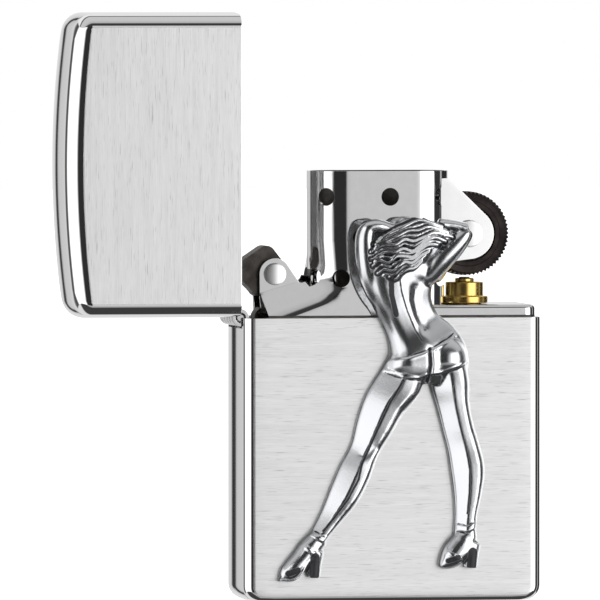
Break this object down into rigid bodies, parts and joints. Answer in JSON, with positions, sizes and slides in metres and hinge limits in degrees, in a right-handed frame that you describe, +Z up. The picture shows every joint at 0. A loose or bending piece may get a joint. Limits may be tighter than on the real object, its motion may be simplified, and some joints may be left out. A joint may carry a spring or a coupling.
{
  "type": "windproof pocket lighter",
  "caption": "Flip-top windproof petrol lighter standing open, with a perforated chimney, striker wheel, cam and a cast figure emblem on the front.",
  "frame": {"origin": "middle of the case's flat bottom face", "axes": "+Z up from the bottom to the rim, +X from the hinge side to the wheel side, +Y from the front face with the emblem to the back face"},
  "size_m": [0.0585, 0.0166, 0.071],
  "materials": {
    "brushed_chrome": "brushed flat faces with polished rounded edges",
    "polished_steel": "polished stainless sheet",
    "dark_steel": "dark hardened spring steel",
    "wheel_steel": "dark knurled steel",
    "brass": "polished",
    "antique_chrome": "cast, bright plated, with dark antiqued recesses",
    "flint": "matt grey",
    "wick": "braided cotton",
    "cotton": "loose white cotton",
    "felt": "pressed felt"
  },
  "bodies": {
    "case": {"case_shell": "brushed_chrome", "hinge_leaf_case": "polished_steel", "hinge_pin": "polished_steel", "insert_shell": "polished_steel", "insert_top": "polished_steel", "cam_rivet": "polished_steel", "cam_spring": "dark_steel", "wheel_axle": "polished_steel", "flint_tube": "brass", "flint_screw": "brass", "flint_spring": "polished_steel", "wick": "wick", "cotton_1": "cotton", "cotton_2": "cotton", "cotton_3": "cotton", "cotton_4": "cotton", "felt_pad": "felt", "figure_emblem": "antique_chrome"},
    "lid": {"lid_shell": "brushed_chrome", "hinge_leaf_lid": "polished_steel"},
    "cam": {"cam": "dark_steel"},
    "wheel": {"striker_wheel": "wheel_steel"},
    "flint_stack": {"flint": "flint", "flint_pusher": "brass"}
  },
  "joints": [
    {"name": "lid_hinge", "type": "hinge", "parent": "case", "child": "lid", "pos_m": [-0.01835, 0, 0.0342], "axis": [0, 1, 0], "range_deg": [0, 90]},
    {"name": "cam_pivot", "type": "hinge", "parent": "case", "child": "cam", "pos_m": [-0.0138, 0, 0.0394], "axis": [0, 1, 0], "range_deg": [0, 55]},
    {"name": "wheel_spin", "type": "hinge", "parent": "case", "child": "wheel", "pos_m": [0.0099, 0, 0.0442], "axis": [0, 1, 0], "continuous": true},
    {"name": "flint_feed", "type": "slide", "parent": "case", "child": "flint_stack", "axis": [0, 0, 1], "range_m": [-0.001, 0], "stiffness_N_per_m": 300, "springref_m": 0.002, "deforming": ["flint_spring"]}
  ],
  "couplings": [
    {"joint": "cam_pivot", "follows": "lid_hinge", "ratio": 0.6}
  ]
}
